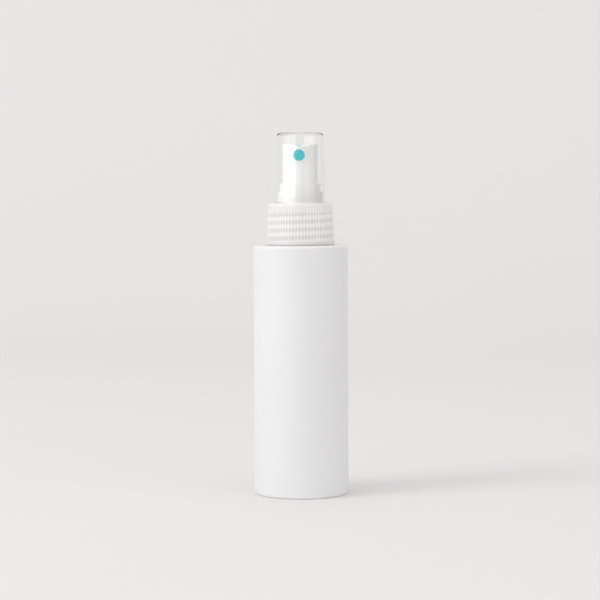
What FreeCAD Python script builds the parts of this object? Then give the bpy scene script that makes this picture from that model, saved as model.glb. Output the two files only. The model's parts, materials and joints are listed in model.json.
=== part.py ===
import FreeCAD, Part
import os
import re
import Sketcher

# Finger-operated fine-mist spray bottle, millimetres, +Z up.
# The origin is the middle of the base, on the surface that the bottle stands on.
# The nozzle points along -Y.

sizes = {
    # bottle
    "bottle_radius": 19.5,
    "bottle_wall": 1.1,
    "shoulder_height": 102.8,
    "shoulder_round": 1.2,
    "base_round": 2.0,
    "base_wall": 1.2,
    "inside_round": 0.8,
    "foot_width": 4.5,
    "push_up": 2.0,
    "push_up_slope": 2.0,
    "neck_radius": 10.8,
    "neck_wall": 1.5,
    "neck_height": 13.9,
    "neck_root_round": 0.5,
    "rim_round": 0.3,
    # screw thread, shared by the neck and the closure
    "thread_pitch": 3.175,
    "thread_height": 1.1,
    "neck_thread_foot": 1.7,
    "neck_thread_crest": 0.8,
    "neck_thread_rise": 7.8,
    "neck_thread_turns": 1.35,
    "closure_thread_foot": 1.7,
    "closure_thread_crest": 0.6,
    "closure_thread_turns": 2.6,
    "thread_side_gap": 0.2,
    "thread_crest_gap": 0.25,
    "thread_bite": 0.2,
    # closure
    "closure_foot_gap": 0.4,
    "closure_wall": 1.25,
    "closure_draft": 0.53,
    "closure_flange_ledge": 0.4,
    "closure_flange_height": 1.8,
    "closure_flange_round": 0.3,
    "rib_depth": 0.35,
    "rib_foot": 0.62,
    "rib_crest": 0.26,
    "rib_count": 64,
    "rib_bite": 0.15,
    "collar_height": 1.5,
    "closure_top_wall": 1.2,
    "closure_top_round": 1.1,
    "closure_land_gap": 0.4,
    "closure_land_height": 2.8,
    "seat_ring_wall": 0.8,
    "seat_ring_height": 4.8,
    "seat_ring_round": 0.3,
    "seat_bead": 0.1,
    "seat_bead_height": 2.5,
    "seat_bead_spread": 0.4,
    # overcap
    "overcap_wall": 0.85,
    "overcap_fit_gap": 0.2,
    "overcap_headroom": 3.15,
    "overcap_draw_in": 1.22,
    "overcap_crown": 0.5,
    "overcap_top_round": 1.0,
    "overcap_inside_round": 0.5,
    "overcap_lip_round": 0.25,
    "gate_radius": 0.7,
    "gate_depth": 0.25,
    # gaskets
    "gasket_thickness": 1.0,
    "gasket_rim_gap": 0.3,
    "gasket_hole_gap": 0.6,
    "stem_gasket_thickness": 0.6,
    # pump housing
    "housing_flange_inset": 0.2,
    "housing_flange": 1.4,
    "clamp_gap": 0.1,
    "cup_wall": 1.0,
    "cup_depth": 5.8,
    "cup_floor": 0.9,
    "chamber_radius": 3.0,
    "chamber_wall": 1.1,
    "chamber_lip": 1.0,
    "chamber_spare": 12.5,
    "ball_room_gap": 0.4,
    "ball_room_wall": 1.4,
    "ball_room_length": 3.3,
    "throat_radius": 1.0,
    "throat_length": 1.2,
    "tube_socket_length": 7.3,
    "tube_socket_wall": 1.1,
    "vent_radius": 0.4,
    "vent_rise": 1.8,
    # pump turret
    "turret_wall": 0.95,
    "turret_gap": 0.2,
    "turret_overlap": 2.86,
    "turret_floor": 0.9,
    "turret_roof": 1.1,
    "turret_round": 0.35,
    "sleeve_wall": 0.8,
    "sleeve_gap": 0.1,
    "sleeve_inner_gap": 0.2,
    "sleeve_floor_gap": 0.2,
    "guide_gap": 0.08,
    "guide_wall": 1.0,
    # stem, valve rod and piston
    "stroke": 5.5,
    "stem_radius": 1.8,
    "stem_bore": 0.8,
    "stem_reach": 15.4,
    "stem_flange_inset": 0.4,
    "stem_flange": 0.7,
    "stem_rest_gap": 0.05,
    "stem_step": 0.4,
    "stem_neck_length": 6.05,
    "port_radius": 0.35,
    "port_rise": 1.0,
    "rod_flange_inset": 0.5,
    "rod_flange": 0.8,
    "rod_pin_gap": 0.7,
    "rod_pin_length": 2.0,
    "rod_plug_gap": 0.02,
    "rod_plug_length": 0.55,
    "rod_core_radius": 0.45,
    "rod_core_length": 2.0,
    "piston_height": 2.6,
    "piston_gap": 0.05,
    "piston_lip": 0.5,
    "piston_waist": 0.35,
    "piston_room_gap": 0.6,
    "piston_room_height": 1.6,
    # springs
    "return_wire": 0.5,
    "return_inset": 0.1,
    "return_turns": 6,
    "compression_wire": 0.3,
    "compression_gap": 0.15,
    "compression_turns": 4,
    "spring_end_gap": 0.04,
    # inlet ball and its cage
    "ball_radius": 1.5,
    "ball_seat_gap": 0.04,
    "ball_lift": 1.0,
    "ball_stop_gap": 0.1,
    "cage_hole_radius": 0.9,
    "cage_gap": 0.1,
    "cage_flange": 0.8,
    "cage_boss_gap": 0.2,
    "cage_boss_height": 1.2,
    "cage_slot_width": 0.6,
    "cage_slot_count": 4,
    # dip tube
    "tube_radius": 1.6,
    "tube_wall": 0.6,
    "tube_fit_gap": 0.02,
    "tube_end_gap": 0.1,
    "tube_floor_gap": 1.8,
    "tube_cut_rise": 2.0,
    # actuator button
    "button_radius": 7.23,
    "button_gap": 0.22,
    "button_wall": 1.0,
    "button_skirt_gap": 0.2,
    "button_back_height": 19.4,
    "button_front_drop": 1.7,
    "button_roof": 1.3,
    "button_round": 1.2,
    "dish_radius": 14.0,
    "dish_back_depth": 0.8,
    "dish_front_depth": 0.35,
    "socket_depth": 5.0,
    "socket_wall": 1.15,
    "socket_gap": 0.05,
    "feed_radius": 0.9,
    "feed_head_gap": 0.16,
    "nozzle_rise": 14.2,
    "nozzle_boss_wall": 1.48,
    "cross_feed_radius": 0.45,
    # nozzle insert
    "insert_radius": 2.3,
    "insert_length": 4.3,
    "insert_sink": 0.33,
    "insert_front": 0.6,
    "insert_gap": 0.02,
    "insert_end_gap": 0.1,
    "post_radius": 1.2,
    "post_gap": 0.05,
    "orifice_radius": 0.15,
    "orifice_cone_radius": 0.6,
    "orifice_cone_depth": 0.25,
}

# Sizes and places that follow from the driving ones.
derived = {
    # bottle
    "bottle_bore": "bottle_radius - bottle_wall",
    "foot_radius": "bottle_radius - foot_width",
    "push_up_radius": "foot_radius - push_up_slope",
    "bottle_floor": "push_up + base_wall",
    "neck_bore": "neck_radius - neck_wall",
    "neck_rim": "shoulder_height + neck_height",
    "neck_thread_z": "shoulder_height + neck_thread_rise",
    "neck_crest_radius": "neck_radius + thread_height",
    # closure: its ridges hang just under the ridges of the neck
    "thread_root": "neck_crest_radius + thread_crest_gap",
    "thread_minor": "thread_root - thread_height",
    "neck_ridge_at_minor": "neck_thread_foot - (neck_thread_foot - neck_thread_crest)"
                           " * thread_crest_gap / thread_height",
    "ridge_at_neck_crest": "closure_thread_foot - (closure_thread_foot - closure_thread_crest)"
                           " * thread_crest_gap / thread_height",
    "ridge_spacing": "max((neck_ridge_at_minor + closure_thread_crest) / 2;"
                     " (ridge_at_neck_crest + neck_thread_crest) / 2) + thread_side_gap",
    "closure_thread_z": "neck_thread_z - thread_pitch - ridge_spacing",
    "closure_foot": "shoulder_height + closure_foot_gap",
    "flange_top": "closure_foot + closure_flange_height",
    "closure_ceiling": "housing_top + clamp_gap",
    "closure_top": "closure_ceiling + closure_top_wall",
    "collar_foot": "closure_top - collar_height",
    "valley_radius": "thread_root + closure_wall",
    "valley_radius_top": "valley_radius - closure_draft",
    "rib_tip_radius": "valley_radius + rib_depth",
    "rib_tip_radius_top": "valley_radius_top + rib_depth",
    "closure_flange_radius": "rib_tip_radius + closure_flange_ledge",
    "closure_land_radius": "neck_radius + closure_land_gap",
    "land_foot": "closure_ceiling - closure_land_height",
    "closure_hole": "turret_radius + turret_gap",
    "seat_ring_radius": "closure_hole + seat_ring_wall",
    "bead_radius": "seat_ring_radius + seat_bead",
    "bead_z": "closure_top + seat_bead_height",
    "seat_ring_top": "closure_top + seat_ring_height",
    # overcap
    "overcap_bore": "bead_radius + overcap_fit_gap",
    "overcap_radius": "overcap_bore + overcap_wall",
    "overcap_edge": "button_back + overcap_headroom + overcap_wall",
    "overcap_top": "overcap_edge + overcap_crown",
    "overcap_top_radius": "overcap_radius - overcap_draw_in",
    "overcap_top_bore": "overcap_bore - overcap_draw_in",
    # pump
    "gasket_top": "neck_rim + gasket_thickness",
    "housing_top": "gasket_top + housing_flange",
    "housing_flange_radius": "neck_radius - housing_flange_inset",
    "cup_radius": "chamber_outside + sleeve_inner_gap + sleeve_wall + sleeve_gap",
    "cup_outside": "cup_radius + cup_wall",
    "cup_bottom": "housing_top - cup_depth",
    "cup_underside": "cup_bottom - cup_floor",
    "chamber_top": "cup_bottom + chamber_lip",
    "chamber_outside": "chamber_radius + chamber_wall",
    "chamber_bottom": "chamber_top - stroke - chamber_spare",
    "chamber_underside": "chamber_bottom - cup_floor",
    "ball_room_radius": "ball_radius + ball_room_gap",
    "ball_room_outside": "ball_room_radius + ball_room_wall",
    "seat_top": "chamber_bottom - ball_room_length",
    "seat_bottom": "seat_top - (ball_room_radius - throat_radius)",
    "throat_bottom": "seat_bottom - throat_length",
    "housing_bottom": "throat_bottom - tube_socket_length",
    "tube_socket_radius": "tube_radius + tube_fit_gap",
    "tube_socket_outside": "tube_socket_radius + tube_socket_wall",
    # turret
    "sleeve_radius": "cup_radius - sleeve_gap",
    "sleeve_bore": "sleeve_radius - sleeve_wall",
    "sleeve_bottom": "cup_bottom + sleeve_floor_gap",
    "guide_bore": "stem_radius + guide_gap",
    "guide_outside": "guide_bore + guide_wall",
    "guide_bottom": "chamber_top + stem_gasket_thickness",
    "turret_radius": "turret_bore + turret_wall",
    "turret_bore": "button_radius + button_gap",
    "turret_top": "button_bottom + turret_overlap",
    "turret_floor_top": "housing_top + turret_floor",
    "turret_roof_z": "turret_floor_top - turret_roof",
    # stem, rod and piston at rest
    "stem_flange_top": "chamber_top - stem_rest_gap",
    "stem_flange_bottom": "stem_flange_top - stem_flange",
    "stem_flange_radius": "chamber_radius - stem_flange_inset",
    "stem_neck_radius": "stem_radius - stem_step",
    "stem_bottom": "stem_flange_bottom - stem_neck_length",
    "stem_top": "housing_top + stem_reach",
    "port_z": "stem_bottom + port_rise",
    "rod_flange_radius": "chamber_radius - rod_flange_inset",
    "rod_pin_radius": "return_radius - return_wire / 2 - rod_pin_gap",
    "rod_flange_bottom": "stem_bottom - rod_flange",
    "rod_pin_bottom": "rod_flange_bottom - rod_pin_length",
    "rod_plug_radius": "stem_bore - rod_plug_gap",
    "rod_plug_top": "stem_bottom + rod_plug_length",
    "rod_top": "stem_bottom + rod_core_length",
    "piston_top": "stem_bottom + piston_height",
    "piston_radius": "chamber_radius - piston_gap",
    "piston_waist_radius": "piston_radius - piston_waist",
    "piston_hole": "stem_neck_radius + piston_gap",
    "piston_room_radius": "stem_neck_radius + piston_room_gap",
    "piston_room_top": "stem_bottom + piston_room_height",
    # springs
    "return_radius": "rod_flange_radius - return_wire / 2 - return_inset",
    "compression_radius": "stem_neck_radius + compression_wire / 2 + compression_gap",
    "return_start": "chamber_bottom + cage_flange + return_wire / 2 + spring_end_gap",
    "return_end": "rod_flange_bottom - return_wire / 2 - spring_end_gap",
    "compression_start": "piston_top + compression_wire / 2 + spring_end_gap",
    "compression_end": "stem_flange_bottom - compression_wire / 2 - spring_end_gap",
    # inlet ball on its 45 degree seat, and the cage that stops its rise
    "ball_z": "seat_bottom - throat_radius + ball_radius * sqrt(2) + ball_seat_gap",
    "cage_bottom": "ball_z + ball_lift + sqrt(ball_radius^2 - cage_hole_radius^2) + ball_stop_gap",
    "cage_stub_radius": "ball_room_radius - cage_gap",
    "cage_flange_radius": "chamber_radius - cage_gap",
    "cage_flange_top": "chamber_bottom + cage_flange",
    "cage_boss_radius": "return_radius - return_wire / 2 - cage_boss_gap",
    "cage_boss_top": "cage_flange_top + cage_boss_height",
    # dip tube
    "tube_bore": "tube_radius - tube_wall",
    "tube_top": "throat_bottom - tube_end_gap",
    "tube_bottom": "bottle_floor + tube_floor_gap",
    # button
    "button_bore": "button_radius - button_wall",
    "button_bottom": "turret_floor_top + stroke + button_skirt_gap",
    "button_back": "button_bottom + button_back_height",
    "button_front": "button_back - button_front_drop",
    "button_ceiling": "button_front - dish_front_depth - button_roof",
    "socket_radius": "stem_radius + socket_gap",
    "socket_outside": "socket_radius + socket_wall",
    "socket_top": "stem_top + socket_gap",
    "socket_bottom": "socket_top - socket_depth",
    "nozzle_z": "button_bottom + nozzle_rise",
    "nozzle_boss_radius": "insert_pocket + nozzle_boss_wall",
    "cross_feed_z": "nozzle_z - (insert_pocket + post_radius) / 2",
    "feed_top": "cross_feed_z + cross_feed_radius + feed_head_gap",
    "nozzle_front": "button_radius - insert_sink",
    "insert_back": "nozzle_front - insert_length",
    "insert_bore": "post_radius + post_gap",
    "insert_pocket": "insert_radius + insert_gap",
}


document = FreeCAD.newDocument("mist_spray_bottle")
sheet = document.addObject("Spreadsheet::Sheet", "sizes")
for row, (name, size) in enumerate(sizes.items(), start=1):
    sheet.set(f"A{row}", name)
    sheet.set(f"B{row}", str(size))
    sheet.setAlias(f"B{row}", name)
document.recompute()


def bound(formula):
    """Write a formula in the names above as an expression on the sheet's cells."""
    def swap(match):
        word = match.group(0)
        if word in sizes:
            return "sizes." + word
        if word in derived:
            return "(" + bound(derived[word]) + ")"
        return word
    return re.sub(r"[a-z_]+[a-z]", swap, formula)


def value(formula):
    return float(sheet.evalExpression(bound(formula)))


def new_body(name):
    body = document.addObject("PartDesign::Body", name)
    body.Label = name
    return body


def origin_plane(body, role):
    return next(item for item in body.Origin.OriginFeatures if item.Role == role)


def new_sketch(body, name, role, offset=None):
    """A sketch on one of the body's origin planes, moved along its normal by a formula."""
    sketch = body.newObject("Sketcher::SketchObject", name)
    sketch.AttachmentSupport = [(origin_plane(body, role), "")]
    sketch.MapMode = "FlatFace"
    if offset:
        sketch.setExpression(".AttachmentOffset.Base.z", bound(offset))
    return sketch


def place_point(sketch, edge, end, across, up):
    """Tie an edge's end to two formulas, measured from the sketch's origin."""
    for kind, formula, axis in (("DistanceX", across, -2), ("DistanceY", up, -1)):
        size = value(formula)
        if abs(size) < 1e-9:
            sketch.addConstraint(Sketcher.Constraint("PointOnObject", edge, end, axis))
            continue
        index = sketch.addConstraint(Sketcher.Constraint(kind, -1, 1, edge, end, size))
        sketch.setExpression(f"Constraints[{index}]", bound(formula))


def arc_start(sketch, index, points):
    """Which end of a stored arc, 1 or 2, is the corner that it leaves."""
    return 1 if (sketch.Geometry[index].StartPoint - points[index]).Length < 1e-6 else 2


def closed_outline(sketch, corners):
    """Edges round the corners. A third item in a corner is the height of the arc that leaves it."""
    points = [FreeCAD.Vector(value(corner[0]), value(corner[1]), 0) for corner in corners]
    for index, corner in enumerate(corners):
        start = points[index]
        end = points[(index + 1) % len(points)]
        if len(corner) == 2:
            sketch.addGeometry(Part.LineSegment(start, end), False)
            continue
        chord = end - start
        side = FreeCAD.Vector(chord.y, -chord.x, 0).normalize()
        middle = (start + end) / 2 + side * value(corner[2])
        sketch.addGeometry(Part.Arc(start, middle, end), False)
    for index, corner in enumerate(corners):
        place_point(sketch, index, 1 if len(corner) == 2 else arc_start(sketch, index, points), *corner[:2])
    for index in range(len(corners)):
        following = (index + 1) % len(corners)
        leaving = 2 if len(corners[index]) == 2 else 3 - arc_start(sketch, index, points)
        arriving = 1 if len(corners[following]) == 2 else arc_start(sketch, following, points)
        sketch.addConstraint(Sketcher.Constraint("Coincident", index, leaving, following, arriving))
    for index, corner in enumerate(corners):
        if len(corner) == 3:
            across = f"({corners[(index + 1) % len(corners)][0]}) - ({corner[0]})"
            up = f"({corners[(index + 1) % len(corners)][1]}) - ({corner[1]})"
            radius = f"((({across})^2 + ({up})^2) / 4 + ({corner[2]})^2) / (2 * abs({corner[2]}))"
            number = sketch.addConstraint(Sketcher.Constraint("Radius", index, value(radius)))
            sketch.setExpression(f"Constraints[{number}]", bound(radius))


def circle(sketch, radius, across="0", up="0"):
    centre = FreeCAD.Vector(value(across), value(up), 0)
    edge = sketch.addGeometry(Part.Circle(centre, FreeCAD.Vector(0, 0, 1), value(radius)), False)
    place_point(sketch, edge, 3, across, up)
    index = sketch.addConstraint(Sketcher.Constraint("Radius", edge, value(radius)))
    sketch.setExpression(f"Constraints[{index}]", bound(radius))


def turned(body, name, corners, kind="PartDesign::Revolution"):
    """An outline in radius and height, turned about the Z axis."""
    sketch = new_sketch(body, name + "_outline", "XZ_Plane")
    closed_outline(sketch, corners)
    document.recompute()
    feature = body.newObject(kind, name)
    feature.Profile = sketch
    feature.ReferenceAxis = (sketch, ["V_Axis"])
    feature.Angle = 360
    document.recompute()
    return feature


def pocket(body, name, sketch, both_ways=False, towards_normal=False):
    """Cut a sketch right through, to one side of its plane or to both."""
    document.recompute()
    before = body.Shape.Volume
    cut = body.newObject("PartDesign::Pocket", name)
    cut.Profile = sketch
    cut.Type = "ThroughAll"
    cut.Midplane = both_ways
    cut.Reversed = towards_normal
    document.recompute()
    if cut.Shape.Volume > before - 1e-4:
        raise RuntimeError(f"{body.Label}: {name} cuts nothing")
    return cut


def circles_at(shape, places):
    """Names of the circular edges about the Z axis at the given radii and heights."""
    names = []
    for radius, height in places:
        found = [
            f"Edge{number}"
            for number, edge in enumerate(shape.Edges, start=1)
            if isinstance(edge.Curve, Part.Circle)
            and abs(edge.Curve.Radius - value(radius)) < 1e-4
            and abs(edge.Curve.Center.z - value(height)) < 1e-4
        ]
        if not found:
            raise RuntimeError(f"no edge at radius {radius}, height {height}")
        names += found
    return names


def rounded(body, name, radius, places):
    document.recompute()
    tip = body.Tip
    fillet = body.newObject("PartDesign::Fillet", name)
    fillet.Base = (tip, circles_at(tip.Shape, places))
    fillet.setExpression("Radius", bound(radius))
    document.recompute()


def helix(body, name, sketch, pitch, turns):
    """Carry a sketch up a right-handed helix about the Z axis."""
    document.recompute()
    feature = body.newObject("PartDesign::AdditiveHelix", name)
    feature.Profile = sketch
    feature.ReferenceAxis = (sketch, ["V_Axis"])
    feature.Mode = "pitch-turns-angle"
    feature.setExpression("Pitch", bound(pitch))
    feature.setExpression("Turns", bound(turns))
    document.recompute()
    return feature


def round_pattern(body, name, original, count):
    pattern = body.newObject("PartDesign::PolarPattern", name)
    pattern.Originals = [original]
    pattern.Axis = (origin_plane(body, "Z_Axis"), [""])
    pattern.Angle = 360
    pattern.setExpression("Occurrences", bound(count))
    body.Tip = pattern
    document.recompute()


def cross_hole(body, name, radius, height, both_ways=True):
    """A round hole along X, through both sides or through +X alone."""
    sketch = new_sketch(body, name + "_circle", "YZ_Plane")
    circle(sketch, radius, "0", height)
    pocket(body, name, sketch, both_ways=both_ways, towards_normal=not both_ways)


def bottle_body():
    body = new_body("bottle_body")
    turned(body, "shell", [
        ("0", "push_up"),
        ("push_up_radius", "push_up"),
        ("foot_radius", "0"),
        ("bottle_radius", "0"),
        ("bottle_radius", "shoulder_height"),
        ("neck_radius", "shoulder_height"),
        ("neck_radius", "neck_rim"),
        ("neck_bore", "neck_rim"),
        ("neck_bore", "shoulder_height - bottle_wall"),
        ("bottle_bore", "shoulder_height - bottle_wall"),
        ("bottle_bore", "base_wall"),
        ("foot_radius", "base_wall"),
        ("push_up_radius", "bottle_floor"),
        ("0", "bottle_floor"),
    ])
    rounded(body, "foot_rounding", "base_round", [("bottle_radius", "0")])
    rounded(body, "shoulder_rounding", "shoulder_round", [("bottle_radius", "shoulder_height")])
    rounded(body, "neck_rounding", "neck_root_round", [("neck_radius", "shoulder_height")])
    rounded(body, "rim_rounding", "rim_round", [("neck_radius", "neck_rim"), ("neck_bore", "neck_rim")])
    rounded(body, "inside_rounding", "inside_round", [
        ("bottle_bore", "shoulder_height - bottle_wall"),
        ("bottle_bore", "base_wall"),
        ("neck_bore", "shoulder_height - bottle_wall"),
    ])
    ridge = new_sketch(body, "neck_thread_section", "YZ_Plane")
    closed_outline(ridge, [
        ("neck_radius - thread_bite", "neck_thread_z - neck_thread_foot / 2"),
        ("neck_radius", "neck_thread_z - neck_thread_foot / 2"),
        ("neck_crest_radius", "neck_thread_z - neck_thread_crest / 2"),
        ("neck_crest_radius", "neck_thread_z + neck_thread_crest / 2"),
        ("neck_radius", "neck_thread_z + neck_thread_foot / 2"),
        ("neck_radius - thread_bite", "neck_thread_z + neck_thread_foot / 2"),
    ])
    helix(body, "neck_thread", ridge, "thread_pitch", "neck_thread_turns")


def rib_section(valley, tip):
    return [
        (f"{valley} - rib_bite", "-rib_foot / 2"),
        (valley, "-rib_foot / 2"),
        (tip, "-rib_crest / 2"),
        (tip, "rib_crest / 2"),
        (valley, "rib_foot / 2"),
        (f"{valley} - rib_bite", "rib_foot / 2"),
    ]


def closure_cap():
    body = new_body("closure_cap")
    turned(body, "shell", [
        ("thread_root", "closure_foot"),
        ("closure_flange_radius", "closure_foot"),
        ("closure_flange_radius", "flange_top"),
        ("valley_radius", "flange_top"),
        ("valley_radius_top", "collar_foot"),
        ("rib_tip_radius_top", "collar_foot"),
        ("rib_tip_radius_top", "closure_top"),
        ("seat_ring_radius", "closure_top"),
        ("seat_ring_radius", "bead_z - seat_bead_spread"),
        ("bead_radius", "bead_z"),
        ("seat_ring_radius", "bead_z + seat_bead_spread"),
        ("seat_ring_radius", "seat_ring_top"),
        ("closure_hole", "seat_ring_top"),
        ("closure_hole", "closure_ceiling"),
        ("closure_land_radius", "closure_ceiling"),
        ("closure_land_radius", "land_foot"),
        ("thread_root", "land_foot"),
    ])
    rounded(body, "top_rounding", "closure_top_round", [("rib_tip_radius_top", "closure_top")])
    rounded(body, "ring_rounding", "seat_ring_round", [("seat_ring_radius", "seat_ring_top")])
    rounded(body, "flange_rounding", "closure_flange_round", [
        ("closure_flange_radius", "closure_foot"),
        ("closure_flange_radius", "flange_top"),
    ])
    foot = new_sketch(body, "rib_foot_section", "XY_Plane", "flange_top")
    closed_outline(foot, rib_section("valley_radius", "rib_tip_radius"))
    head = new_sketch(body, "rib_head_section", "XY_Plane", "collar_foot")
    closed_outline(head, rib_section("valley_radius_top", "rib_tip_radius_top"))
    document.recompute()
    rib = body.newObject("PartDesign::AdditiveLoft", "rib")
    rib.Profile = foot
    rib.Sections = [head]
    rib.Ruled = True
    document.recompute()
    round_pattern(body, "ribs", rib, "rib_count")
    ridge = new_sketch(body, "closure_thread_section", "YZ_Plane")
    closed_outline(ridge, [
        ("thread_minor", "closure_thread_z - closure_thread_crest / 2"),
        ("thread_root", "closure_thread_z - closure_thread_foot / 2"),
        ("thread_root + thread_bite", "closure_thread_z - closure_thread_foot / 2"),
        ("thread_root + thread_bite", "closure_thread_z + closure_thread_foot / 2"),
        ("thread_root", "closure_thread_z + closure_thread_foot / 2"),
        ("thread_minor", "closure_thread_z + closure_thread_crest / 2"),
    ])
    helix(body, "closure_thread", ridge, "thread_pitch", "closure_thread_turns")


def overcap():
    body = new_body("overcap")
    turned(body, "shell", [
        ("overcap_bore", "closure_top"),
        ("overcap_radius", "closure_top"),
        ("overcap_top_radius", "overcap_edge", "overcap_crown / 4"),
        ("gate_radius", "overcap_top"),
        ("gate_radius", "overcap_top - gate_depth"),
        ("0", "overcap_top - gate_depth"),
        ("0", "overcap_top - overcap_wall"),
        ("overcap_top_bore", "overcap_edge - overcap_wall"),
    ])
    rounded(body, "top_rounding", "overcap_top_round", [("overcap_top_radius", "overcap_edge")])
    rounded(body, "inside_rounding", "overcap_inside_round", [
        ("overcap_top_bore", "overcap_edge - overcap_wall"),
    ])
    rounded(body, "lip_rounding", "overcap_lip_round", [("overcap_radius", "closure_top")])


def neck_gasket():
    body = new_body("neck_gasket")
    turned(body, "ring", [
        ("cup_outside + gasket_hole_gap", "neck_rim"),
        ("neck_radius - gasket_rim_gap", "neck_rim"),
        ("neck_radius - gasket_rim_gap", "gasket_top"),
        ("cup_outside + gasket_hole_gap", "gasket_top"),
    ])


def pump_housing():
    body = new_body("pump_housing")
    turned(body, "shell", [
        ("tube_socket_radius", "housing_bottom"),
        ("tube_socket_outside", "housing_bottom"),
        ("tube_socket_outside", "throat_bottom"),
        ("ball_room_outside", "seat_bottom"),
        ("ball_room_outside", "chamber_underside"),
        ("chamber_outside", "chamber_underside"),
        ("chamber_outside", "cup_underside"),
        ("cup_outside", "cup_underside"),
        ("cup_outside", "gasket_top"),
        ("housing_flange_radius", "gasket_top"),
        ("housing_flange_radius", "housing_top"),
        ("cup_radius", "housing_top"),
        ("cup_radius", "cup_bottom"),
        ("chamber_outside", "cup_bottom"),
        ("chamber_outside", "chamber_top"),
        ("chamber_radius", "chamber_top"),
        ("chamber_radius", "chamber_bottom"),
        ("ball_room_radius", "chamber_bottom"),
        ("ball_room_radius", "seat_top"),
        ("throat_radius", "seat_bottom"),
        ("throat_radius", "throat_bottom"),
        ("tube_socket_radius", "throat_bottom"),
    ])
    cross_hole(body, "vent", "vent_radius", "cup_bottom + vent_rise", both_ways=False)


def stem_gasket():
    body = new_body("stem_gasket")
    turned(body, "ring", [
        ("guide_bore", "chamber_top"),
        ("sleeve_bore - sleeve_gap", "chamber_top"),
        ("sleeve_bore - sleeve_gap", "guide_bottom"),
        ("guide_bore", "guide_bottom"),
    ])


def pump_turret():
    body = new_body("pump_turret")
    turned(body, "shell", [
        ("sleeve_bore", "sleeve_bottom"),
        ("sleeve_radius", "sleeve_bottom"),
        ("sleeve_radius", "housing_top"),
        ("turret_radius", "housing_top"),
        ("turret_radius", "turret_top"),
        ("turret_bore", "turret_top"),
        ("turret_bore", "turret_floor_top"),
        ("guide_bore", "turret_floor_top"),
        ("guide_bore", "guide_bottom"),
        ("guide_outside", "guide_bottom"),
        ("guide_outside", "turret_roof_z"),
        ("sleeve_bore", "turret_roof_z"),
    ])
    rounded(body, "rim_rounding", "turret_round", [("turret_radius", "turret_top")])


def stem():
    body = new_body("stem")
    turned(body, "tube", [
        ("stem_bore", "stem_bottom"),
        ("stem_neck_radius", "stem_bottom"),
        ("stem_neck_radius", "stem_flange_bottom"),
        ("stem_flange_radius", "stem_flange_bottom"),
        ("stem_flange_radius", "stem_flange_top"),
        ("stem_radius", "stem_flange_top"),
        ("stem_radius", "stem_top"),
        ("stem_bore", "stem_top"),
    ])
    cross_hole(body, "ports", "port_radius", "port_z")


def valve_rod():
    body = new_body("valve_rod")
    turned(body, "rod", [
        ("0", "rod_pin_bottom"),
        ("rod_pin_radius", "rod_pin_bottom"),
        ("rod_pin_radius", "rod_flange_bottom"),
        ("rod_flange_radius", "rod_flange_bottom"),
        ("rod_flange_radius", "stem_bottom"),
        ("rod_plug_radius", "stem_bottom"),
        ("rod_plug_radius", "rod_plug_top"),
        ("rod_core_radius", "rod_plug_top"),
        ("rod_core_radius", "rod_top"),
        ("0", "rod_top"),
    ])


def piston():
    body = new_body("piston")
    turned(body, "sleeve", [
        ("piston_room_radius", "stem_bottom"),
        ("piston_radius", "stem_bottom"),
        ("piston_radius", "stem_bottom + piston_lip"),
        ("piston_waist_radius", "stem_bottom + 2 * piston_lip"),
        ("piston_waist_radius", "piston_top - 2 * piston_lip"),
        ("piston_radius", "piston_top - piston_lip"),
        ("piston_radius", "piston_top"),
        ("piston_hole", "piston_top"),
        ("piston_hole", "piston_room_top"),
        ("piston_room_radius", "piston_room_top"),
    ])


def coil_spring(name, wire, radius, start, end, turns):
    body = new_body(name)
    section = new_sketch(body, "wire_section", "XZ_Plane")
    circle(section, f"{wire} / 2", radius, start)
    helix(body, "coil", section, f"({end} - {start}) / {turns}", turns)


def inlet_ball():
    ball = document.addObject("Part::Sphere", "inlet_ball")
    ball.Label = "inlet_ball"
    ball.setExpression("Radius", bound("ball_radius"))
    ball.setExpression(".Placement.Base.z", bound("ball_z"))


def ball_cage():
    body = new_body("ball_cage")
    turned(body, "ring", [
        ("cage_hole_radius", "cage_bottom"),
        ("cage_stub_radius", "cage_bottom"),
        ("cage_stub_radius", "chamber_bottom"),
        ("cage_flange_radius", "chamber_bottom"),
        ("cage_flange_radius", "cage_flange_top"),
        ("cage_boss_radius", "cage_flange_top"),
        ("cage_boss_radius", "cage_boss_top"),
        ("cage_hole_radius", "cage_boss_top"),
    ])
    slot = new_sketch(body, "slot_outline", "YZ_Plane")
    closed_outline(slot, [
        ("-cage_slot_width / 2", "cage_bottom"),
        ("cage_slot_width / 2", "cage_bottom"),
        ("cage_slot_width / 2", "chamber_bottom"),
        ("-cage_slot_width / 2", "chamber_bottom"),
    ])
    cut = pocket(body, "slot", slot, towards_normal=True)
    round_pattern(body, "slots", cut, "cage_slot_count")


def dip_tube():
    body = new_body("dip_tube")
    turned(body, "tube", [
        ("tube_bore", "tube_bottom"),
        ("tube_radius", "tube_bottom"),
        ("tube_radius", "tube_top"),
        ("tube_bore", "tube_top"),
    ])
    wedge = new_sketch(body, "slant_outline", "YZ_Plane")
    closed_outline(wedge, [
        ("-tube_radius", "tube_bottom"),
        ("tube_radius", "tube_bottom"),
        ("tube_radius", "tube_bottom + tube_cut_rise"),
    ])
    pocket(body, "slant", wedge, both_ways=True)


def actuator_button():
    body = new_body("actuator_button")
    turned(body, "shell", [
        ("button_bore", "button_bottom"),
        ("button_radius", "button_bottom"),
        ("button_radius", "button_back"),
        ("0", "button_back"),
        ("0", "feed_top"),
        ("feed_radius", "feed_top"),
        ("feed_radius", "socket_top"),
        ("socket_radius", "socket_top"),
        ("socket_radius", "socket_bottom"),
        ("socket_outside", "socket_bottom"),
        ("socket_outside", "button_ceiling"),
        ("button_bore", "button_ceiling"),
    ])
    rounded(body, "back_rounding", "button_round", [("button_radius", "button_back")])
    nozzle_boss(body)
    button_top(body)


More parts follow.
